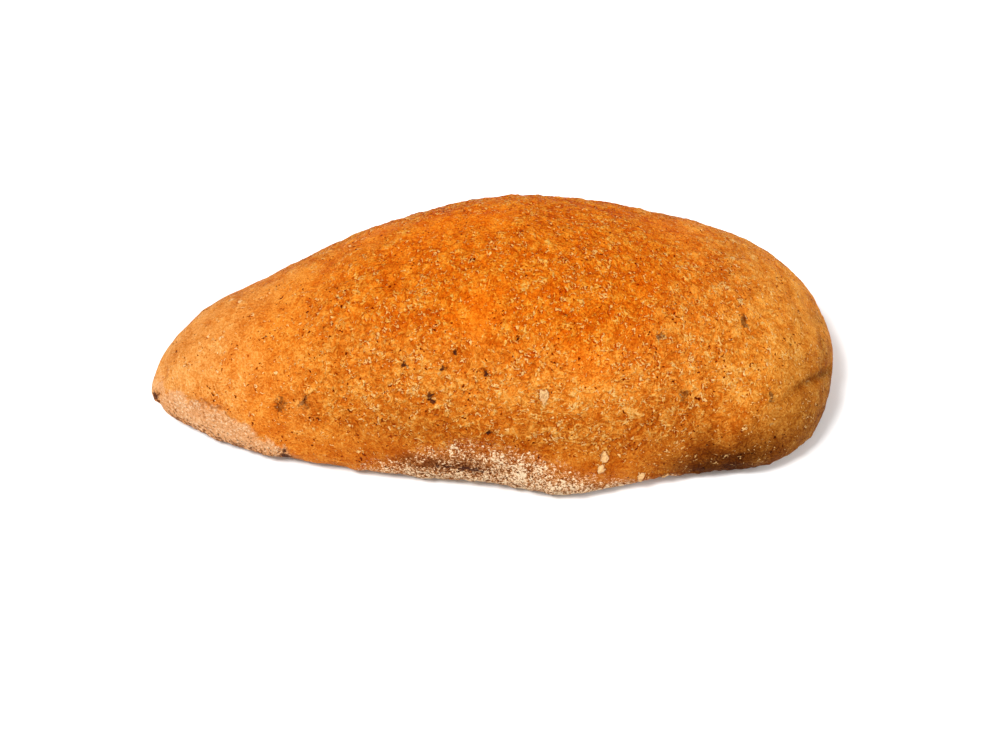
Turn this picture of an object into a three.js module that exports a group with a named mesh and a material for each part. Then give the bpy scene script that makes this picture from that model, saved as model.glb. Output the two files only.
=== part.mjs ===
// A hand-shaped bread roll: one baked body, full and blunt at one end, tapering to a small nub at the other.
// Millimetres, +Z up. X runs along the roll from the nub (-X) to the blunt end (+X), and -Y is the front.
// The foot the roll was baked on is flat and lies on z = 0; the origin is the bottom centre of the bounding box.
import * as THREE from 'three';
import { mergeVertices } from 'three/addons/utils/BufferGeometryUtils.js';

// Driving dimensions.
const LENGTH = 170;
const WIDTH = 82;
const HEIGHT = 50;

// Height of the widest line above the foot, and how far the foot is tucked in beneath it.
const RIM_HEIGHT = 0.15 * HEIGHT;
const FOOT_TUCK = 0.07 * WIDTH;

// How full the dome is across the roll: 2 is an ellipse, more is squarer at the shoulders.
const DOME_FULLNESS = 2.1;

// The tip sits in front of the long axis; the middle line of the roll swings out to it over this share.
const TIP_OFFSET = 0.08 * WIDTH;
const TIP_SWING = 0.35;

// Distances over which the ends round off; those of the back hold for the crown too.
const TIP_FRONT_ROUNDING = 0.04 * LENGTH;
const TIP_BACK_ROUNDING = 0.12 * LENGTH;
const BLUNT_FRONT_ROUNDING = 0.155 * LENGTH;
const BLUNT_BACK_ROUNDING = 0.22 * LENGTH;

// Shape along the roll, at stations from the nub (0) to the blunt end (1): the crown as a share of the height,
// the reach of the front and of the back from the long axis as a share of the width.
const STATIONS = [
  { along: 0.0, crown: 0.42, front: 0.05, back: 0.2 },
  { along: 0.15, crown: 0.58, front: 0.28, back: 0.28 },
  { along: 0.35, crown: 0.86, front: 0.42, back: 0.4 },
  { along: 0.5, crown: 0.99, front: 0.455, back: 0.45 },
  { along: 0.65, crown: 0.95, front: 0.475, back: 0.455 },
  { along: 0.8, crown: 0.77, front: 0.44, back: 0.425 },
  { along: 1.0, crown: 0.58, front: 0.445, back: 0.44 },
];

// Lip of dough that spread along the baking surface at the front.
const LIP = { along: 0.59, spread: 0.08, reach: 0.045 * WIDTH, top: 0.3 * HEIGHT };

// Mesh steps: along the roll, over the dome from front to back, and round each lower edge.
const STEPS_ALONG = 76;
const STEPS_DOME = 26;
const STEPS_EDGE = 5;

// Points each rail along the roll is sampled at, and how close corners are before they count as one.
const RAIL_SAMPLES = 400;
const SAME_POINT = 1e-4;

const CRUST = { color: 0xd9822f, roughness: 0.62, metalness: 0 };

// A smooth curve through one column of the stations, read at a share of the length.
function railThrough(column) {
  const points = STATIONS.map((station) => new THREE.Vector3(station.along, station[column], 0));
  const curve = new THREE.CatmullRomCurve3(points, false, 'centripetal');
  const samples = curve.getPoints(RAIL_SAMPLES);
  return (along) => {
    const next = samples.findIndex((sample) => sample.x >= along);
    if (next <= 0) {
      return samples[0].y;
    }
    const before = samples[next - 1];
    const after = samples[next];
    return THREE.MathUtils.mapLinear(along, before.x, after.x, before.y, after.y);
  };
}

const crownRail = railThrough('crown');
const frontRail = railThrough('front');
const backRail = railThrough('back');

// Rises from 0 at an end to 1 once past the rounding, along a quarter of a circle.
function endRound(distance, rounding) {
  const inward = 1 - Math.min(distance / rounding, 1);
  return Math.sqrt(1 - inward * inward);
}

// Shape of the cross-section at a share of the length.
function sectionAt(along) {
  const fromTip = along * LENGTH;
  const fromBlunt = LENGTH - fromTip;
  const frontRound = endRound(fromTip, TIP_FRONT_ROUNDING) * endRound(fromBlunt, BLUNT_FRONT_ROUNDING);
  const backRound = endRound(fromTip, TIP_BACK_ROUNDING) * endRound(fromBlunt, BLUNT_BACK_ROUNDING);
  const footRound = endRound(Math.min(fromTip, fromBlunt), FOOT_TUCK);
  const swing = Math.max(0, 1 - along / TIP_SWING);
  return {
    x: fromTip - LENGTH / 2,
    middle: -TIP_OFFSET * swing * swing,
    crown: RIM_HEIGHT + (HEIGHT * crownRail(along) - RIM_HEIGHT) * backRound,
    foot: RIM_HEIGHT * (1 - footRound),
    front: WIDTH * frontRail(along) * frontRound,
    back: WIDTH * backRail(along) * backRound,
    lip: LIP.reach * Math.exp(-(((along - LIP.along) / LIP.spread) ** 2)),
  };
}

// One side of the section as [reach, height] pairs: round the lower edge from the foot, then up to the crown.
function sidePoints(section, reach, lip) {
  const tuck = Math.min(FOOT_TUCK, reach);
  const points = [];
  for (let step = 0; step < STEPS_EDGE; step += 1) {
    const angle = (Math.PI / 2) * (step / STEPS_EDGE);
    const height = RIM_HEIGHT - (RIM_HEIGHT - section.foot) * Math.cos(angle);
    points.push([reach - tuck + tuck * Math.sin(angle) + lip, height]);
  }
  for (let step = 0; step < STEPS_DOME / 2; step += 1) {
    const angle = (Math.PI / 2) * (step / (STEPS_DOME / 2));
    const height = RIM_HEIGHT + (section.crown - RIM_HEIGHT) * Math.sin(angle) ** (2 / DOME_FULLNESS);
    const lipShare = Math.max(0, 1 - (height - RIM_HEIGHT) / LIP.top);
    points.push([reach * Math.cos(angle) ** (2 / DOME_FULLNESS) + lip * lipShare, height]);
  }
  return points;
}

// The closed ring of points of one cross-section, from the front of the foot over the crown to the back.
function ringAt(along) {
  const section = sectionAt(along);
  const front = sidePoints(section, section.front, section.lip);
  const back = sidePoints(section, section.back, 0);
  const point = (reach, height) => new THREE.Vector3(section.x, section.middle + reach, height);
  const ring = front.map(([reach, height]) => point(-reach, height));
  ring.push(point(0, section.crown));
  back.reverse().forEach(([reach, height]) => ring.push(point(reach, height)));
  return ring;
}

// Stations crowd towards the ends, where the body turns fastest.
function rings() {
  const list = [];
  for (let step = 1; step < STEPS_ALONG; step += 1) {
    list.push(ringAt((1 - Math.cos((Math.PI * step) / STEPS_ALONG)) / 2));
  }
  return list;
}

// The point that closes an end: level with the middle of the last ring, at the end of the roll.
function endPoint(ring, x) {
  const middle = new THREE.Box3().setFromPoints(ring).getCenter(new THREE.Vector3());
  return middle.setX(x);
}

// Skins the rings into one closed surface with a point at each end.
function skin(list) {
  const tip = endPoint(list[0], -LENGTH / 2);
  const blunt = endPoint(list[list.length - 1], LENGTH / 2);
  const count = list[0].length;
  const corners = [];
  for (let side = 0; side < count; side += 1) {
    const next = (side + 1) % count;
    corners.push(tip, list[0][side], list[0][next]);
    for (let row = 0; row + 1 < list.length; row += 1) {
      const [a, b] = [list[row][side], list[row][next]];
      const [c, d] = [list[row + 1][next], list[row + 1][side]];
      corners.push(a, d, c, a, c, b);
    }
    const last = list[list.length - 1];
    corners.push(blunt, last[next], last[side]);
  }
  return mergeVertices(new THREE.BufferGeometry().setFromPoints(corners), SAME_POINT);
}

// Puts the origin at the bottom centre of the bounding box.
function centreOnFoot(geometry) {
  geometry.computeBoundingBox();
  const centre = geometry.boundingBox.getCenter(new THREE.Vector3());
  geometry.translate(-centre.x, -centre.y, -geometry.boundingBox.min.z);
  return geometry;
}

function breadRoll() {
  const geometry = centreOnFoot(skin(rings()));
  geometry.computeVertexNormals();
  const mesh = new THREE.Mesh(geometry, new THREE.MeshStandardMaterial(CRUST));
  mesh.name = 'bread_roll';
  return mesh;
}

const roll = new THREE.Group();
roll.add(breadRoll());

export default roll;
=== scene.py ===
"""A hand-shaped bread roll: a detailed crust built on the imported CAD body, on a pale studio floor.

Metres, in the CAD frame: X runs along the roll from the tapered tip (low X) to the blunt end (high X),
-Y is the front that the camera looks at, and the flat foot lies on z = 0. Places on the roll are shares
of its length from the tip, of its width from the front, and of its height from the foot.
"""

import math

import bmesh
import bpy
import numpy as np
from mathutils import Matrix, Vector, noise
from mathutils.bvhtree import BVHTree


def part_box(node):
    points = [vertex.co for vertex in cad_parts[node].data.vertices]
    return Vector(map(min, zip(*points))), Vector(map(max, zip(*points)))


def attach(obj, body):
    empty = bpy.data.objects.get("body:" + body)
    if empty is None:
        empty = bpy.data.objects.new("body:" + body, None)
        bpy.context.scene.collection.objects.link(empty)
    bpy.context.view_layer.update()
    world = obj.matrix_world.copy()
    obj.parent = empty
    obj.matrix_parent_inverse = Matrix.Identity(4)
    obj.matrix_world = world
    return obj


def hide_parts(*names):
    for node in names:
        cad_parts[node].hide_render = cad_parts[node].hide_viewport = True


MM = 0.001

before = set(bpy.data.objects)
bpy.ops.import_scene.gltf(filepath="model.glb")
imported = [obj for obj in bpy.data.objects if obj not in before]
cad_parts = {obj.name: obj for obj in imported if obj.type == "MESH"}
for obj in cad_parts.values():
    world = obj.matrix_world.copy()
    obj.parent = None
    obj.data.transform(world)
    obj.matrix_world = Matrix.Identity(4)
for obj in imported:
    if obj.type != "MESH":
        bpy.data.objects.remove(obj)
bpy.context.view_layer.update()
LOW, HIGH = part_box("bread_roll")
LENGTH, WIDTH, HEIGHT = HIGH - LOW

# Broad colours of the crust, linear red, green and blue.
ORANGE = (0.78, 0.22, 0.018)
TAN = (0.76, 0.29, 0.06)
OCHRE = (0.84, 0.28, 0.028)
DEEP_ORANGE = (0.78, 0.17, 0.005)
BROWN_ORANGE = (0.51, 0.122, 0.007)
DARK_BROWN = (0.09, 0.022, 0.002)
RED_BROWN = (0.42, 0.13, 0.03)
PALE_DOUGH = (0.78, 0.36, 0.14)
FOOT_BROWN = (0.4, 0.2, 0.08)

# Colours of what lies on it.
DUSTY = (0.76, 0.37, 0.15)
# The flour colour also paints highlights on the pale strip.
FLOUR_AND_HIGHLIGHT = (1.0, 0.75, 0.48)
# The flake colour also paints highlights on torn flecks.
FLAKE_AND_HIGHLIGHT = (1.0, 0.6, 0.26)
DARK_SPECK = (0.07, 0.02, 0.012)
# What scorched, shaded and smoky spots multiply the crust's red, green and blue by. The scorched tone also
# serves as painted shade in the crease, the dark line low on the front and round the flakes; the shaded tone
# is painted shade in small hollows.
SCORCHED_AND_SHADED = (0.28, 0.18, 0.14)
SHADED = (0.6, 0.45, 0.35)
SMOKED = (0.36, 0.36, 0.6)

# How much the crust shines and in what colour, and the roughness of bare and of floured crust.
GLOSS = 0.02
GLOSS_TINT = (1.0, 0.55, 0.2, 1)
CRUST_ROUGHNESS = 0.6
FLOUR_ROUGHNESS = 0.95

# Thinnest that the browned layer of skin gets, where 1 gives the broad colour itself.
PALEST = 0.45
# Shift of a pattern that lays a painted shadow beside each of its curls or flecks of lifted skin.
SHADOW_SHIFT = 0.35 * MM

# The line inside the body that the crust is measured from.
TIP_CENTRE = Vector((LOW.x + 0.14 * LENGTH, LOW.y + 0.45 * WIDTH, 0.2 * HEIGHT))
BLUNT_CENTRE = Vector((HIGH.x - 0.2 * LENGTH, LOW.y + 0.5 * WIDTH, 0.26 * HEIGHT))

# Rows of the crust's mesh along the roll, and columns round it.
TIP_ROWS = 64
MIDDLE_ROWS = 216
BLUNT_ROWS = 96
FOOT_COLUMNS = 36
DOME_COLUMNS = 208
FOOT_HALF_ANGLE = math.radians(72)

# Space left round each piece of the flat map of the crust.
MAP_MARGIN = 2 * MM


# ---------------------------------------------------------------- the crust's shape

def link(name, data):
    """A new object in the scene that shows the data."""
    new_object = bpy.data.objects.new(name, data)
    bpy.context.scene.collection.objects.link(new_object)
    return new_object


def body_tree():
    """The CAD body with its facets smoothed, as a tree that rays can be cast at."""
    same_point = 0.01 * MM
    widest_bend = 0.7
    bm = bmesh.new()
    bm.from_mesh(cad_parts["bread_roll"].data)
    bmesh.ops.remove_doubles(bm, verts=bm.verts, dist=same_point)
    bmesh.ops.join_triangles(
        bm, faces=bm.faces, angle_face_threshold=widest_bend, angle_shape_threshold=widest_bend
    )
    mesh = bpy.data.meshes.new("smooth_body")
    bm.to_mesh(mesh)
    bm.free()
    body = link("smooth_body", mesh)
    body.modifiers.new("round", "SUBSURF").levels = 2
    body.modifiers.new("even", "SMOOTH").iterations = 12
    tree = BVHTree.FromObject(body, bpy.context.evaluated_depsgraph_get())
    bpy.data.objects.remove(body)
    return tree


def ray_rows():
    """Start point and angle from the tip's direction of each row, tip to blunt end."""
    rows = []
    for step in range(1, TIP_ROWS + 1):
        rows.append((TIP_CENTRE, 0.5 * math.pi * step / TIP_ROWS))
    for step in range(1, MIDDLE_ROWS):
        rows.append((TIP_CENTRE.lerp(BLUNT_CENTRE, step / MIDDLE_ROWS), 0.5 * math.pi))
    for step in range(BLUNT_ROWS):
        rows.append((BLUNT_CENTRE, 0.5 * math.pi * (1 + step / BLUNT_ROWS)))
    return rows


def ray_columns():
    """Angles round the roll, from straight down by way of the front, the crown and the back."""
    foot = np.linspace(-FOOT_HALF_ANGLE, FOOT_HALF_ANGLE, FOOT_COLUMNS, endpoint=False)
    dome = np.linspace(FOOT_HALF_ANGLE, 2 * math.pi - FOOT_HALF_ANGLE, DOME_COLUMNS, endpoint=False)
    return np.concatenate([foot, dome])


def outward(lean, angle):
    """A ray's direction, leaning back from the tip's direction and turned round the roll."""
    return Vector((-math.cos(lean), -math.sin(lean) * math.sin(angle), -math.sin(lean) * math.cos(angle)))


def hit(tree, start, direction):
    """Where a ray from inside leaves the body."""
    return tree.ray_cast(start, direction)[0]


def crust_grid(tree):
    """Points on the body in rows and columns, and the two end points."""
    angles = ray_columns()
    rows = [[hit(tree, start, outward(lean, angle)) for angle in angles] for start, lean in ray_rows()]
    tip = hit(tree, TIP_CENTRE, Vector((-1, 0, 0)))
    blunt = hit(tree, BLUNT_CENTRE, Vector((1, 0, 0)))
    return np.array(rows), np.array(tip), np.array(blunt)


def crust_faces(row_count, column_count):
    """Quads between rows and a fan at each end, facing out, column by column."""
    tip = row_count * column_count
    blunt = tip + 1
    last = (row_count - 1) * column_count
    faces = []
    for column in range(column_count):
        beside = (column + 1) % column_count
        faces.append((tip, column, beside))
        faces.append((blunt, last + beside, last + column))
        for row in range(row_count - 1):
            here = row * column_count
            there = here + column_count
            faces.append((here + column, there + column, there + beside, here + beside))
    return faces


def unrolled(rows, first, count):
    """Lays a run of columns flat: distance along the roll, and round it from the run's middle."""
    ring = rows[:, np.arange(first, first + count + 1) % rows.shape[1]]
    steps = np.linalg.norm(np.diff(ring, axis=1), axis=2)
    around = np.concatenate([np.zeros((len(ring), 1)), np.cumsum(steps, axis=1)], axis=1)
    around -= 0.5 * around[:, -1:]
    middle = ring[:, count // 2]
    along = np.concatenate([[0], np.cumsum(np.linalg.norm(np.diff(middle, axis=0), axis=1))])
    return np.stack([np.repeat(along[:, None], count + 1, axis=1), around], axis=2)


def map_corners(rows):
    """Where each face corner lies on the flat map: the dome above, and the foot below it."""
    dome = unrolled(rows, FOOT_COLUMNS, DOME_COLUMNS)
    foot = unrolled(rows, 0, FOOT_COLUMNS)
    dome -= dome.min((0, 1)) - MAP_MARGIN
    foot -= foot.min((0, 1)) - MAP_MARGIN
    foot[..., 1] += dome[..., 1].max() + MAP_MARGIN
    side = max(dome[..., 0].max(), foot[..., 1].max()) + MAP_MARGIN
    to_point = (MAP_MARGIN / side, 0)
    corners = []
    for chart in (foot / side, dome / side):
        for column in range(chart.shape[1] - 1):
            here, beside = chart[:, column], chart[:, column + 1]
            between = 0.5 * (here + beside)
            corners += [between[0] - to_point, here[0], beside[0]]
            corners += [between[-1] + to_point, beside[-1], here[-1]]
            quads = np.stack([here[:-1], here[1:], beside[1:], beside[:-1]], axis=1)
            corners += list(quads.reshape(-1, 2))
    return np.array(corners)


def normals_of(points, faces):
    """Smooth vertex normals of a mesh given as arrays."""
    mesh = bpy.data.meshes.new("measure")
    mesh.from_pydata(points.tolist(), [], faces)
    mesh.update()
    normals = np.empty(len(points) * 3)
    mesh.vertex_normals.foreach_get("vector", normals)
    bpy.data.meshes.remove(mesh)
    return normals.reshape(-1, 3)


# ---------------------------------------------------------------- fields over the surface

def smooth_step(low, high, values):
    """0 below low, 1 above high, and a smooth rise between."""
    share = np.clip((values - low) / (high - low), 0, 1)
    return share * share * (3 - 2 * share)


def fractal(points, size, octaves=3, shift=0.0):
    """Soft noise of about -1 to 1 whose features are size metres across."""
    moved = points / size + shift
    return np.array([noise.fractal(Vector(p), 1.0, 2.0, octaves) for p in moved])


def ridges(points, size, shift=0.0):
    """Thin curling ridges, 1 on the ridge line and 0 away from it."""
    warp = np.stack([fractal(points, 2.5 * size, 2, shift + k) for k in (3, 17, 31)], axis=1)
    return np.clip(1 - 5 * np.abs(fractal(points + 0.8 * size * warp, size, 2, shift)), 0, 1)


def wander(points):
    """A small shift in each direction, of about -1 to 1, that makes a clean outline uneven."""
    return np.stack([fractal(points, 1.5 * MM, 2, shift) for shift in (71.0, 73.0, 79.0)], axis=1)


def band(values, middle, spread):
    """1 at a middle value and falling smoothly to 0 away from it."""
    return np.exp(-(((values - middle) / spread) ** 2))


def near(points, spot, radius):
    """1 at a spot and falling to 0 at radius."""
    return 1 - smooth_step(0, radius, np.linalg.norm(points - np.array(spot), axis=1))


def place(along, across, up):
    """A point at shares of the roll's length, width and height."""
    return np.array(LOW) + np.array([along, across, up]) * np.array(HIGH - LOW)


class Skin:
    """The crust's points with the shares that its regions are described by."""

    def __init__(self, points):
        """Measures the points along, across and up the roll, and how far each belongs to the front."""
        self.points = points
        self.along = (points[:, 0] - LOW.x) / LENGTH
        self.across = (points[:, 1] - LOW.y) / WIDTH
        self.up = points[:, 2] / HEIGHT
        self.front = 1 - smooth_step(0.35, 0.5, self.across)


# Bran specks and burst pores, greyer smudges, and flakes: a place on the crust and a radius.
DARK_MARKS = [
    (0.42, 0.31, 0.85, 0.6 * MM),
    (0.37, 0.21, 0.67, 0.7 * MM),
    (0.44, 0.21, 0.75, 0.6 * MM),
    (0.477, 0.172, 0.7, 0.7 * MM),
    (0.483, 0.162, 0.68, 0.8 * MM),
    (0.405, 0.143, 0.565, 0.9 * MM),
    (0.485, 0.083, 0.4, 0.7 * MM),
    (0.53, 0.22, 0.81, 0.6 * MM),
    (0.425, 0.186, 0.69, 0.5 * MM),
    (0.918, 0.346, 0.51, 0.5 * MM),
    (0.196, 0.185, 0.08, 1.7 * MM),
    (0.008, 0.414, 0.16, 1.1 * MM),
]
SMUDGES = [
    (0.194, 0.224, 0.395, 1.5 * MM),
    (0.228, 0.211, 0.435, 1.2 * MM),
    (0.85, 0.363, 0.665, 1.3 * MM),
    (0.886, 0.18, 0.44, 1.1 * MM),
    (0.725, 0.252, 0.748, 0.9 * MM),
    (0.757, 0.142, 0.53, 1.1 * MM),
]
PALE_FLAKES = [
    (0.646, 0.035, 0.295, 1.1 * MM),
    (0.641, 0.022, 0.226, 1.0 * MM),
    (0.698, 0.047, 0.118, 1.0 * MM),
    (0.735, 0.071, 0.082, 1.0 * MM),
    (0.561, 0.115, 0.59, 1.3 * MM),
]

# Lines on the crust, as the places that they pass through, and single places at the tip.
CREASE = [(0.995, 0.4, 0.24), (0.955, 0.296, 0.354), (0.928, 0.239, 0.4), (0.88, 0.147, 0.4)]
# The dark line low on the front: partly scorched, partly painted shadow in a gap.
SCORCH_AND_SHADOW_LINE = [(0.41, 0.078, 0.18), (0.45, 0.07, 0.165), (0.475, 0.06, 0.17)]
TIP_NUB = (0.006, 0.41, 0.15)
TIP_NOTCH = (0.012, 0.44, 0.27)

# Marks are taller than long: distances across and up the crust count for less than those along it.
UPRIGHT = np.array([1.2, 0.75, 0.75])


def spots(points, marks):
    """The strongest share of any mark at each point."""
    share = np.zeros(len(points))
    for along, across, up, radius in marks:
        away = (points - place(along, across, up)) * UPRIGHT
        share = np.maximum(share, near(away, (0, 0, 0), 2 * radius))
    return share


def distance_to_line(points, spots_on_line):
    """Distance from each point to a chain of straight pieces through the places given."""
    line = [place(*spot) for spot in spots_on_line]
    best = np.full(len(points), np.inf)
    for start, end in zip(line[:-1], line[1:]):
        run = end - start
        share = np.clip((points - start) @ run / (run @ run), 0, 1)
        best = np.minimum(best, np.linalg.norm(points - start - share[:, None] * run, axis=1))
    return best


def baking_masks(skin):
    """Shares of the regions that rose, toasted or were floured in their own way, low on the crust; the toast
    share is partly painted shade.
    """
    points, along = skin.points, skin.along
    ragged = 0.04 * fractal(points, 5 * MM, 3, 40.0)
    lower = skin.up + ragged
    # The pale strip's top is an arch over the tip's front, and the seam runs along it.
    rim_top = 0.28 * (1 - ((along - 0.07) / 0.17) ** 2)
    rim_edge = lower + 0.03 * fractal(points, 1.6 * MM, 3, 44.0)
    rim = skin.front * (1 - smooth_step(rim_top - 0.02, rim_top + 0.02, rim_edge))
    seam = skin.front * band(lower, rim_top + 0.01, 0.018) * band(along, 0.12, 0.13)
    # Flour lies in a low heap at the middle of the front.
    flour_top = 0.36 * band(along, 0.48, 0.2)
    flour = skin.front * (1 - smooth_step(flour_top - 0.16, flour_top + 0.04, lower))
    flour *= smooth_step(0.26, 0.4, along) * (1 - rim)
    # Toast and painted shade start past two thirds of the length and fade up the side and round to the back;
    # the painted shade falls where the lower front tucks under, away from the light, and reaches higher
    # towards the crease.
    toast_and_shade_top = 0.42 + 0.3 * smooth_step(0.82, 0.93, along)
    toast_and_shade = smooth_step(0.67, 0.8, along) * (1 - 0.25 * smooth_step(0.84, 0.92, along))
    toast_and_shade *= 1 - smooth_step(0.13, toast_and_shade_top, lower)
    toast_and_shade *= 1 - smooth_step(0.25, 0.75, skin.across + 3 * ragged)
    return {
        "rim": rim,
        "seam": seam,
        "flour": flour,
        "toast_and_shade": toast_and_shade,
        # The same dark line's wider band, partly scorched and partly painted shadow.
        "scorch_and_shadow": skin.front * band(lower, 0.19, 0.05) * band(along, 0.42, 0.06),
        "edge": 1 - smooth_step(0.03, 0.2, lower),
        "foot": 1 - smooth_step(0.01, 0.05, skin.up),
    }


def mark_masks(skin):
    """Shares of the single marks, flakes, crease and the dark streak, which is partly scorched and partly
    painted shadow in a gap.
    """
    points = skin.points
    warp = MM * wander(points)
    streak = distance_to_line(points + warp, SCORCH_AND_SHADOW_LINE)
    crease = distance_to_line(points + 0.5 * warp, CREASE)
    return {
        "mark": spots(points + 0.9 * warp, DARK_MARKS),
        "smudge": spots(points + warp, SMUDGES),
        "flake": spots(points + 0.6 * warp, PALE_FLAKES),
        "streak": 1 - smooth_step(0.2 * MM, 1.3 * MM, streak),
        "crease": (1 - smooth_step(0, 1.8 * MM, crease)) * smooth_step(0.87, 0.97, skin.along),
    }


def texture_masks(skin):
    """Shares of the skin's kinds of texture: blistered, torn, drawn out sideways, and raised."""
    points, along, up = skin.points, skin.along, skin.up
    blister = smooth_step(-0.8, 0.15, fractal(points, 20 * MM, 2, 9.0)) * smooth_step(0.2, 0.45, up)
    blister *= smooth_step(0.1, 0.35, along) * (1 - 0.7 * smooth_step(0.78, 0.97, along))
    return {
        "blister": blister,
        "torn": smooth_step(0.55, 0.8, up) * band(along, 0.5, 0.2),
        "drawn": skin.front * band(up, 0.5, 0.2) * band(along, 0.6, 0.25),
        "raised": 0.5 + 0.5 * fractal(points + 1.2 * MM * wander(points), 3.2 * MM, 3, 90.0),
    }


def region_colour(skin, masks):
    """The crust's broad colour, as baking left it, with painted shade low on the sides and at the blunt
    end's lower front, and painted light on the blunt end.
    """
    along, up = skin.along, skin.up
    drift = 0.08 * fractal(skin.points, 16 * MM, 2, 60.0)
    foot = masks["foot"] * (1 - masks["rim"]) * (1 - masks["flour"])

    def blend(base, colour, share):
        """Moves a colour towards another by a share."""
        return base + (np.array(colour) - base) * np.clip(share, 0, 1)[:, None]

    # The lower sides turn brown-orange: painted shade where they face down, away from the light.
    low = (1 - smooth_step(0.3, 0.65, up + drift)) * smooth_step(0.12, 0.4, along)
    colour = np.tile(ORANGE, (len(along), 1))
    colour = blend(colour, TAN, 1 - smooth_step(0.0, 0.24, along + drift))
    # The blunt end turns lighter ochre: partly its own tone, partly painted light on the side that the key
    # light from the left leaves dimmer.
    colour = blend(colour, OCHRE, smooth_step(0.7, 0.97, along + drift))
    colour = blend(colour, DEEP_ORANGE, smooth_step(0.6, 0.9, up + drift) * smooth_step(0.1, 0.3, along))
    colour = blend(colour, BROWN_ORANGE, 0.9 * low * (1 - smooth_step(0.75, 0.95, along)))
    # Dark brown at the blunt end's lower front: partly toasting, partly painted shade where the side tucks
    # under.
    colour = blend(colour, DARK_BROWN, masks["toast_and_shade"])
    colour = blend(colour, RED_BROWN, masks["flour"])
    colour = blend(colour, PALE_DOUGH, masks["rim"])
    return blend(colour, FOOT_BROWN, foot)


def texture_relief(points, masks):
    """Height that the crust's lumps, blisters, wrinkles and ragged edge add."""
    lumps = -0.6 * MM * fractal(points, 26 * MM, 2)
    dents = 0.3 * MM * fractal(points, 6 * MM, 2, 5.0)
    blisters = 0.5 * MM * (masks["raised"] - 0.5) * (0.45 + 0.55 * masks["blister"])
    curls = 0.15 * MM * ridges(points, 2.6 * MM, 2.0) * masks["blister"]
    floured = 0.4 * MM * masks["flour"] * fractal(points, 2.2 * MM, 3, 21.0)
    frayed = 0.6 * MM * masks["edge"] * fractal(points, 3 * MM, 3, 33.0)
    return lumps + dents + blisters + curls + floured + frayed


def feature_relief(points, masks):
    """Height that the single features add: crease, seam, pale strip, nub, notch, pits and flakes."""
    crease = -1.1 * MM * masks["crease"]
    seam = -0.25 * MM * masks["seam"]
    rim = 0.3 * MM * masks["rim"]
    nub = 1.2 * MM * near(points, place(*TIP_NUB), 3 * MM)
    notch = -1.8 * MM * near(points, place(*TIP_NOTCH), 5 * MM)
    pits = -0.7 * MM * masks["mark"] - 0.3 * MM * masks["smudge"]
    flakes = 0.45 * MM * smooth_step(0.3, 0.6, masks["flake"])
    return crease + seam + rim + nub + notch + pits + flakes


def relief(skin, masks):
    """Height of the crust above the smooth body at each point, next to nothing on the foot."""
    points = skin.points
    above_foot = smooth_step(0.2 * MM, 3 * MM, points[:, 2])
    grain = 0.05 * MM * fractal(points, 1.4 * MM, 2, 12.0)
    return above_foot * (texture_relief(points, masks) + feature_relief(points, masks)) + grain


def add_attribute(mesh, name, values):
    """Keeps values on the mesh's points for the material to read."""
    if values.ndim == 1:
        mesh.attributes.new(name, "FLOAT", "POINT").data.foreach_set("value", values.astype(np.float32))
    else:
        opaque = np.column_stack([values, np.ones(len(values))]).astype(np.float32)
        mesh.attributes.new(name, "FLOAT_COLOR", "POINT").data.foreach_set("color", opaque.ravel())


def build_crust():
    """The crust as one closed mesh that stands for the CAD body."""
    rows, tip, blunt = crust_grid(body_tree())
    faces = crust_faces(*rows.shape[:2])
    points = np.vstack([rows.reshape(-1, 3), tip, blunt])
    skin = Skin(points)
    masks = {**baking_masks(skin), **mark_masks(skin), **texture_masks(skin)}
    moved = points + normals_of(points, faces) * relief(skin, masks)[:, None]
    moved[:, 2] = np.maximum(moved[:, 2], 0)
    mesh = bpy.data.meshes.new("crust")
    mesh.from_pydata(moved.tolist(), [], faces)
    mesh.shade_smooth()
    mesh.uv_layers.new(name="OFBake").data.foreach_set("uv", map_corners(rows).ravel())
    add_attribute(mesh, "broad_colour", region_colour(skin, masks))
    for name, values in masks.items():
        add_attribute(mesh, name, values)
    return link("crust", mesh)


# ---------------------------------------------------------------- material

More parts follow.
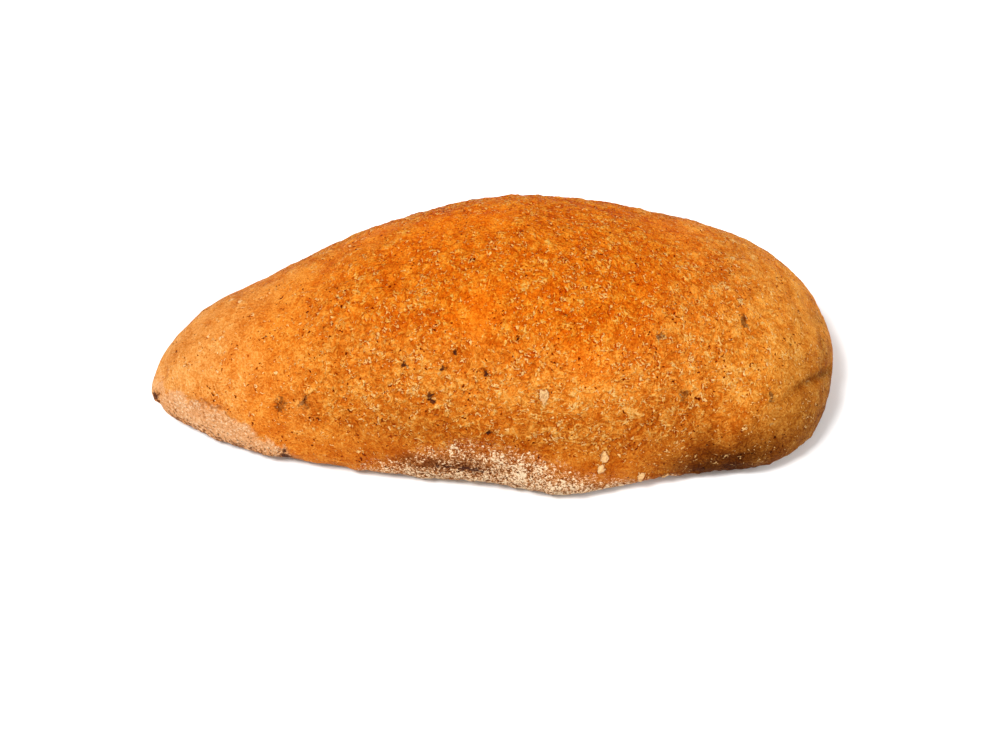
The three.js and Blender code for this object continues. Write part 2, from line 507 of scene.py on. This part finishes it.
class Paint:
    """One material built up in coats: each coat covers the colour so far and may raise the surface.

    The first coats thicken or thin the browned layer of skin, and brown() turns that into colour.
    Sizes are in metres on the object.
    """

    def __init__(self, name):
        """A material whose first colour is the broad colour kept on the mesh."""
        self.material = bpy.data.materials.new(name)
        self.material.use_nodes = True
        self.nodes = self.material.node_tree.nodes
        self.links = self.material.node_tree.links
        self.shader = self.nodes["Principled BSDF"]
        self.place = self.nodes.new("ShaderNodeTexCoord").outputs["Object"]
        self.colour = self.attribute("broad_colour", "Color")
        self.height = 0.0
        self.browning = 1.0

    def put(self, socket, value):
        """Sets a socket to a number or colour, or links it to another node's output."""
        if isinstance(value, bpy.types.NodeSocket):
            self.links.new(value, socket)
        elif isinstance(value, tuple) and len(value) == 3:
            socket.default_value = (*value, 1)
        else:
            socket.default_value = value

    def attribute(self, name, output="Fac"):
        """A value kept on the mesh's points."""
        node = self.nodes.new("ShaderNodeAttribute")
        node.attribute_name = name
        return node.outputs[output]

    def noise(self, size, detail=2.0, roughness=0.5, bend=0.0, shift=0.0, length=1.0):
        """Fractal noise, mostly 0.3 to 0.7, with features size across and length times as long.

        Another shift gives another pattern.
        """
        moved = self.nodes.new("ShaderNodeVectorMath")
        moved.operation = "MULTIPLY_ADD"
        self.put(moved.inputs[0], self.place)
        moved.inputs[1].default_value = (1 / length, 1, 1)
        moved.inputs[2].default_value = (shift, 0.7 * shift, 0.3 * shift)
        node = self.nodes.new("ShaderNodeTexNoise")
        self.put(node.inputs["Vector"], moved.outputs[0])
        node.inputs["Scale"].default_value = 1 / size
        node.inputs["Detail"].default_value = detail
        node.inputs["Roughness"].default_value = roughness
        node.inputs["Distortion"].default_value = bend
        return node.outputs["Fac"]

    def math(self, operation, first, second=0.0):
        """One sum on values, by the name of a math node's operation."""
        node = self.nodes.new("ShaderNodeMath")
        node.operation = operation
        self.put(node.inputs[0], first)
        self.put(node.inputs[1], second)
        return node.outputs[0]

    def times(self, first, *others):
        """The product of all the values."""
        for other in others:
            first = self.math("MULTIPLY", first, other)
        return first

    def plus(self, first, *others):
        """The sum of all the values."""
        for other in others:
            first = self.math("ADD", first, other)
        return first

    def rise(self, value, low, high, start=0.0, end=1.0):
        """A smooth step of a value from start, at low, to end, at high."""
        node = self.nodes.new("ShaderNodeMapRange")
        node.interpolation_type = "SMOOTHSTEP"
        self.put(node.inputs["Value"], value)
        self.put(node.inputs["From Min"], low)
        self.put(node.inputs["From Max"], high)
        self.put(node.inputs["To Min"], start)
        self.put(node.inputs["To Max"], end)
        return node.outputs[0]

    def curls(self, size, thickness, shift=0.0, length=1.0):
        """Curling strokes, 1 along the middle of each, where a bent noise crosses its middle value."""
        bent = self.noise(size, 2.0, 0.5, bend=1.4, shift=shift, length=length)
        away = self.math("ABSOLUTE", self.math("SUBTRACT", bent, 0.5))
        return self.rise(away, 0.5 * thickness, thickness, 1.0, 0.0)

    def cover(self, share, colour, blend="MIX"):
        """Lays a coat of colour over a share of the surface."""
        node = self.nodes.new("ShaderNodeMix")
        node.data_type = "RGBA"
        node.blend_type = blend
        first, second = node.inputs[6], node.inputs[7]
        self.put(node.inputs["Factor"], share)
        self.put(first, self.colour)
        self.put(second, colour)
        self.colour = node.outputs[2]

    def tone(self, share, factors):
        """Multiplies the red, green and blue so far by factors, over a share of the surface."""
        self.cover(share, factors, "MULTIPLY")

    def bake(self, amount):
        """Thickens the browned layer of skin by an amount; a negative amount thins it."""
        self.browning = self.plus(amount, self.browning)

    def brown(self):
        """Turns the colour so far into that of a layer as thick as the browning, as a pigment would, and
        dims the thicker layer: partly its own darker colour, partly painted shade that deepens the browner
        hollows.
        """
        thickness = self.math("MAXIMUM", self.browning, PALEST)
        deepened = self.nodes.new("ShaderNodeGamma")
        self.put(deepened.inputs["Color"], self.colour)
        self.put(deepened.inputs["Gamma"], thickness)
        dulled_and_shaded = self.nodes.new("ShaderNodeVectorMath")
        dulled_and_shaded.operation = "SCALE"
        self.put(dulled_and_shaded.inputs[0], deepened.outputs[0])
        self.put(dulled_and_shaded.inputs["Scale"], self.rise(thickness, 0.7, 1.6, 1.05, 0.68))
        self.colour = dulled_and_shaded.outputs[0]

    def lift(self, share, amount):
        """Raises the surface by a share of an amount; a negative amount sinks it."""
        self.height = self.plus(self.times(share, amount), self.height)

    def finish(self, roughness):
        """Joins the coats to the shader; the height is in metres already, so the bump's distance is 1."""
        bump = self.nodes.new("ShaderNodeBump")
        bump.inputs["Distance"].default_value = 1.0
        self.put(bump.inputs["Height"], self.height)
        self.put(self.shader.inputs["Base Color"], self.colour)
        self.put(self.shader.inputs["Normal"], bump.outputs[0])
        self.put(self.shader.inputs["Roughness"], roughness)
        return self.material


def coat_browning(paint):
    """Patches that browned more, and raised skin between them that stayed lighter."""
    patches = paint.noise(7 * MM, detail=5, roughness=0.65, bend=0.8, shift=1.1)
    paint.bake(paint.rise(patches, 0.41, 0.55, 0.1, -0.05))
    paint.bake(paint.rise(paint.attribute("raised"), 0.2, 0.8, 0.08, -0.08))


def coat_wrinkles(paint):
    """Wrinkled skin a millimetre or two across, paler where it rises and browner where it dips, partly
    painted light and shade, with a few paler curls where it stretched and split, partly painted highlights,
    each with a painted shadow beside it.
    """
    zone = paint.rise(paint.attribute("blister"), 0.0, 1.0, 0.3, 1.0)
    wrinkles = paint.noise(1.7 * MM, detail=4, roughness=0.6, bend=1.2, shift=1.9)
    paint.bake(paint.times(paint.rise(wrinkles, 0.38, 0.64, 0.16, -0.18), zone))
    paint.lift(paint.times(wrinkles, zone), 2.4 * MM)
    scattered = paint.noise(2.4 * MM, detail=3, roughness=0.6, shift=0.4)
    sparse = paint.times(paint.rise(scattered, 0.54, 0.62), zone)
    curl = paint.times(paint.curls(2.6 * MM, 0.07, shift=0.2), sparse)
    curl_shadow = paint.times(paint.curls(2.6 * MM, 0.07, shift=0.2 + SHADOW_SHIFT), sparse)
    paint.bake(paint.times(curl_shadow, 0.3))
    paint.bake(paint.times(curl, -0.6))
    paint.lift(curl, 0.3 * MM)


def coat_streaks(paint):
    """Long pale streaks low on the front, where the skin was drawn out sideways."""
    broken = paint.rise(paint.noise(3 * MM, detail=3, roughness=0.6, shift=6.1), 0.42, 0.56)
    line = paint.curls(4 * MM, 0.03, shift=6.4, length=2.5)
    streak = paint.times(line, broken, paint.attribute("drawn"))
    paint.bake(paint.times(streak, -0.4))
    paint.lift(streak, 0.3 * MM)


def coat_flecks(paint):
    """Clusters of small torn flecks of paler skin, partly painted highlights, each with a painted shadow
    beside it; gives them back.
    """
    blistered = paint.rise(paint.attribute("blister"), 0.0, 1.0, -0.03, 0.0)
    gathered = paint.noise(6 * MM, detail=3, roughness=0.6, bend=0.5, shift=7.7)
    clusters = paint.rise(gathered, 0.4, 0.6, -0.05, 0.015)
    likely = paint.plus(blistered, clusters, paint.times(paint.attribute("torn"), 0.012))

    def torn_at(shift):
        """Where the pattern of a shift has flecks."""
        pattern = paint.noise(1.0 * MM, detail=2, roughness=0.6, bend=0.9, shift=shift)
        return paint.rise(paint.plus(pattern, likely), 0.62, 0.65)

    flecks = torn_at(5.5)
    fleck_shadows = torn_at(5.5 + SHADOW_SHIFT)
    paint.bake(paint.times(fleck_shadows, 0.45))
    paint.bake(paint.times(flecks, -1.0))
    paint.lift(flecks, 0.35 * MM)
    return flecks


def coat_grain(paint):
    """Fine grain all over."""
    grain = paint.noise(0.5 * MM, detail=3, roughness=0.65, shift=0.3)
    paint.bake(paint.rise(grain, 0.38, 0.62, 0.12, -0.14))
    paint.lift(grain, 1.0 * MM)


def coat_pores(paint):
    """Browner skin round clusters of pores, away from the pale strip; gives back the pores' holes."""
    gathered = paint.noise(5 * MM, detail=3, roughness=0.6, shift=2.1)
    clusters = paint.rise(gathered, 0.38, 0.66, -0.18, 0.03)
    pores = paint.plus(paint.noise(0.8 * MM, detail=1, shift=3.3), clusters)
    open_crust = paint.rise(paint.attribute("rim"), 0.0, 0.5, 1.0, 0.0)
    paint.bake(paint.times(paint.rise(pores, 0.62, 0.7), open_crust, 0.5))
    return paint.times(paint.rise(pores, 0.685, 0.72), open_crust)


def coat_openings(paint, holes, flecks):
    """Dark holes at the middle of the pores, and paler dough where flecks of skin are torn, partly painted
    highlights.
    """
    paint.tone(holes, SCORCHED_AND_SHADED)
    paint.lift(holes, -0.5 * MM)
    paint.cover(paint.times(flecks, 0.3), FLAKE_AND_HIGHLIGHT)


def coat_rim(paint):
    """The pale strip that rose last, with flour and painted highlights on the rises of its crust and painted
    shade in its dips, speckled along its lower edge.
    """
    rim = paint.attribute("rim")
    blotches = paint.noise(3 * MM, detail=5, roughness=0.7, bend=0.5, shift=4.2, length=2.0)
    paint.cover(paint.times(rim, paint.rise(blotches, 0.42, 0.56, 0.0, 0.9)), PALE_DOUGH)
    crust = paint.noise(0.7 * MM, detail=4, roughness=0.7, bend=0.5, shift=4.7)
    paint.cover(paint.times(rim, paint.rise(crust, 0.53, 0.64, 0.0, 0.7)), FLOUR_AND_HIGHLIGHT)
    paint.tone(paint.times(rim, paint.rise(crust, 0.35, 0.45, 0.9, 0.0)), SHADED)
    paint.lift(paint.times(crust, rim), 0.6 * MM)
    scattered = paint.noise(0.9 * MM, detail=3, roughness=0.6, bend=0.5, shift=4.9)
    specks = paint.plus(scattered, paint.times(paint.attribute("edge"), 0.2))
    paint.tone(paint.times(rim, paint.rise(specks, 0.65, 0.69), 0.9), SCORCHED_AND_SHADED)


def coat_folds(paint):
    """Darker down in the frayed seam above the pale strip, and painted shade in the crease at the blunt end.
    """
    frayed = paint.plus(paint.attribute("seam"), paint.noise(1.2 * MM, detail=4, roughness=0.7, shift=5.1))
    paint.tone(paint.times(paint.rise(frayed, 1.15, 1.6), 0.5), SCORCHED_AND_SHADED)
    # Painted shade in the crease.
    paint.tone(paint.times(paint.attribute("crease"), 0.55), SCORCHED_AND_SHADED)


def coat_flour(paint):
    """Flour caught in grains and crumbs on dark scorched crust; gives back the share that it dusts."""
    flour, scorch_and_shadow = paint.attribute("flour"), paint.attribute("scorch_and_shadow")
    grains = paint.noise(0.5 * MM, detail=3, roughness=0.75, bend=0.3, shift=1.7)
    crumbs = paint.noise(1.1 * MM, detail=3, roughness=0.6, bend=0.5, shift=1.2)
    clumps = paint.noise(3.5 * MM, detail=3, roughness=0.6, bend=0.8, shift=2.7)
    paint.tone(paint.times(flour, paint.rise(grains, 0.42, 0.46, 1.0, 0.0)), SCORCHED_AND_SHADED)
    # Darker along the line low on the front: partly scorch, partly painted shadow.
    paint.tone(paint.times(scorch_and_shadow, 0.85), SCORCHED_AND_SHADED)
    caught = paint.plus(grains, paint.times(crumbs, 0.5), paint.times(clumps, 0.4))
    amount = paint.plus(caught, paint.times(flour, 0.12), paint.times(scorch_and_shadow, -0.12))
    present = paint.rise(flour, 0.0, 0.3)
    dusted = paint.times(paint.rise(amount, 1.0, 1.05), present)
    paint.cover(paint.times(dusted, 0.75), DUSTY)
    paint.cover(paint.times(paint.rise(amount, 1.09, 1.11), present), FLOUR_AND_HIGHLIGHT)
    paint.lift(paint.times(paint.plus(crumbs, grains), flour), 0.9 * MM)
    # The line itself, charred and partly painted shadow in its gap.
    charred_and_shaded = paint.rise(paint.plus(paint.attribute("streak"), crumbs), 1.1, 1.35)
    paint.cover(paint.times(charred_and_shaded, 0.9), DARK_SPECK)
    paint.lift(charred_and_shaded, -0.3 * MM)
    return dusted


def coat_marks(paint):
    """Pale flakes that lifted off, with painted shade round their edges, grey smudges, and dark bran specks
    and burst pores.
    """
    uneven = paint.noise(1.1 * MM, detail=3, roughness=0.65, bend=0.6, shift=2.9)
    ragged = paint.rise(uneven, 0.3, 0.7, -0.4, 0.4)
    edge = paint.plus(paint.attribute("flake"), paint.times(ragged, 0.4))
    flake = paint.rise(edge, 0.42, 0.55)
    # Painted shade round each flake's lifted edge.
    paint.tone(paint.rise(edge, 0.25, 0.42, 0.0, 0.4), SCORCHED_AND_SHADED)
    paint.cover(paint.times(flake, paint.rise(ragged, -0.3, 0.3, 0.6, 1.0)), FLAKE_AND_HIGHLIGHT)
    paint.lift(flake, 0.3 * MM)
    smudge = paint.plus(paint.attribute("smudge"), ragged)
    paint.tone(paint.rise(smudge, 0.3, 0.9, 0.0, 0.95), SMOKED)
    mark = paint.plus(paint.attribute("mark"), ragged)
    paint.tone(paint.rise(mark, 0.3, 0.7, 0.0, 0.8), SCORCHED_AND_SHADED)
    paint.cover(paint.rise(mark, 0.65, 0.8, 0.0, 0.85), DARK_SPECK)
    paint.lift(paint.rise(mark, 0.45, 0.8), -0.3 * MM)


def crust_material():
    """Baked crust: coats of browning first, then their colour, then what lies on the crust."""
    paint = Paint("crust")
    coat_browning(paint)
    coat_wrinkles(paint)
    coat_streaks(paint)
    flecks = coat_flecks(paint)
    coat_grain(paint)
    holes = coat_pores(paint)
    paint.brown()
    coat_openings(paint, holes, flecks)
    coat_rim(paint)
    coat_folds(paint)
    dusted = coat_flour(paint)
    coat_marks(paint)
    paint.shader.inputs["Specular IOR Level"].default_value = GLOSS
    paint.shader.inputs["Specular Tint"].default_value = GLOSS_TINT
    return paint.finish(paint.rise(dusted, 0.0, 1.0, CRUST_ROUGHNESS, FLOUR_ROUGHNESS))


# ---------------------------------------------------------------- stage

# Studio: brightness of the surroundings, and for each light the degrees left of the front and above
# the floor that it stands at, its distance and size in metres, and its power in watts.
SURROUNDINGS = 0.6
LIGHTS = {
    "key": {"azimuth": 50, "elevation": 58, "distance": 2.0, "size": 0.6, "power": 46},
    "fill": {"azimuth": -75, "elevation": 30, "distance": 2.0, "size": 0.8, "power": 16},
}
FLOOR_HALF_SIDE = 12 * LENGTH
FLOOR_GREY = 0.9

# Camera: the degrees that it stands at, how far off it is, what it aims at, and its lens and film in mm.
CAMERA_AZIMUTH = 2.2
CAMERA_ELEVATION = 47
CAMERA_DISTANCE = 3.32 * LENGTH
CAMERA_AIM = Vector((0.009 * LENGTH, 0.05 * WIDTH, 0))
CAMERA_LENS = 80
CAMERA_FILM = 36


def toward(azimuth, elevation):
    """Unit vector from the object, at degrees left of the front and degrees above the floor."""
    a, e = math.radians(azimuth), math.radians(elevation)
    return Vector((-math.sin(a) * math.cos(e), -math.cos(a) * math.cos(e), math.sin(e)))


def facing(direction):
    """Rotation that turns a camera or a light back along a direction."""
    return (-direction).to_track_quat("-Z", "Y").to_euler()


def build_floor():
    """A plain pale floor, much wider than the view."""
    side = FLOOR_HALF_SIDE
    corners = [(-side, -side, 0), (side, -side, 0), (side, side, 0), (-side, side, 0)]
    mesh = bpy.data.meshes.new("floor")
    mesh.from_pydata(corners, [], [(0, 1, 2, 3)])
    material = bpy.data.materials.new("floor")
    material.use_nodes = True
    shader = material.node_tree.nodes["Principled BSDF"]
    shader.inputs["Base Color"].default_value = (FLOOR_GREY, FLOOR_GREY, FLOOR_GREY, 1)
    shader.inputs["Roughness"].default_value = 0.9
    shader.inputs["Specular IOR Level"].default_value = 0.0
    mesh.materials.append(material)
    link("floor", mesh)


def build_light(name, azimuth, elevation, distance, size, power):
    """A soft square light that points at the object."""
    data = bpy.data.lights.new(name, "AREA")
    data.size = size
    data.energy = power
    light = link(name, data)
    light.location = toward(azimuth, elevation) * distance
    light.rotation_euler = facing(toward(azimuth, elevation))


def build_world():
    """Even white light from all round."""
    world = bpy.data.worlds.new("studio")
    world.use_nodes = True
    background = world.node_tree.nodes["Background"]
    background.inputs["Color"].default_value = (1, 1, 1, 1)
    background.inputs["Strength"].default_value = SURROUNDINGS
    bpy.context.scene.world = world


def build_camera():
    """Looks down at the front, from a little to the left."""
    data = bpy.data.cameras.new("camera")
    data.lens = CAMERA_LENS
    data.sensor_width = CAMERA_FILM
    direction = toward(CAMERA_AZIMUTH, CAMERA_ELEVATION)
    camera = link("camera", data)
    camera.location = CAMERA_AIM + direction * CAMERA_DISTANCE
    camera.rotation_euler = facing(direction)
    bpy.context.scene.camera = camera


# ---------------------------------------------------------------- put together

crust = build_crust()
crust.data.materials.append(crust_material())
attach(crust, "root")
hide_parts("bread_roll")
build_floor()
for name, light in LIGHTS.items():
    build_light(name, **light)
build_world()
build_camera()
bpy.context.scene.view_settings.view_transform = "Standard"
